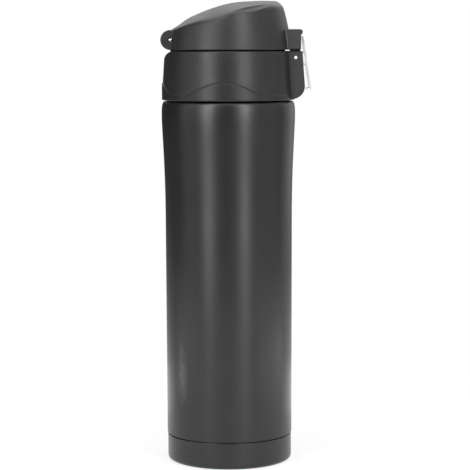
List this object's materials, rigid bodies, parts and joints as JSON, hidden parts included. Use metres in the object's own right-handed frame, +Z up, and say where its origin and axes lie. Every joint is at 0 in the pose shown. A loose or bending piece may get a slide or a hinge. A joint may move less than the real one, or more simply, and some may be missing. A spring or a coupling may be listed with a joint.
{
  "type": "vacuum flask",
  "caption": "Slim insulated steel flask with a screw-on drink unit, a flip lid on a rear hinge and a sprung front release lever that unhooks the lid.",
  "frame": {"origin": "on the flask's axis, on the plane that the base rim stands on", "axes": "+Z up along the flask, +X to the latch at the front, -X to the hinge at the rear"},
  "size_m": [0.0745, 0.0666, 0.2301],
  "materials": {
    "body_paint": "satin black powder paint",
    "liner_steel": "polished stainless steel",
    "seal_glass": "fused sealing glass",
    "getter_alloy": "sintered grey metal",
    "black_moulding": "black moulded plastic with a fine matt grain",
    "silicone": "translucent grey silicone",
    "pin_steel": "bright ground steel",
    "spring_steel": "drawn stainless wire",
    "lever_chrome": "bright chrome plate"
  },
  "bodies": {
    "flask": {"outer_shell": "body_paint", "inner_liner": "liner_steel", "outer_bottom": "liner_steel", "vacuum_seal_bead": "seal_glass", "getter": "getter_alloy", "base_cap": "body_paint"},
    "mouth_ring": {"mouth_seal": "silicone"},
    "drink_unit": {"collar": "black_moulding", "threaded_sleeve": "black_moulding", "spout": "black_moulding", "spout_seal": "silicone", "hinge_pin": "pin_steel", "hinge_spring": "spring_steel", "latch_pin": "pin_steel", "lever_spring": "spring_steel"},
    "lever": {"release_lever": "lever_chrome"},
    "lid": {"lid_cover": "black_moulding", "lid_liner": "black_moulding", "lid_gasket": "silicone"}
  },
  "joints": [
    {"name": "unit_climb", "type": "slide", "parent": "flask", "child": "mouth_ring", "axis": [0, 0, 1], "range_m": [0, 0.008]},
    {"name": "unit_turn", "type": "hinge", "parent": "mouth_ring", "child": "drink_unit", "pos_m": [0, 0, 0.1812], "axis": [0, 0, 1], "range_deg": [0, 720]},
    {"name": "lid_hinge", "type": "hinge", "parent": "drink_unit", "child": "lid", "pos_m": [-0.0283, 0, 0.2109], "axis": [0, -1, 0], "range_deg": [0, 150], "deforming": ["hinge_spring"]},
    {"name": "lever_press", "type": "hinge", "parent": "drink_unit", "child": "lever", "pos_m": [0.0333, 0, 0.2021], "axis": [0, 1, 0], "range_deg": [0, 7], "stiffness_Nm_per_rad": 0.5, "deforming": ["lever_spring"]}
  ],
  "couplings": [
    {"joint": "unit_climb", "follows": "unit_turn", "m_per_rad": 0.00063662}
  ]
}
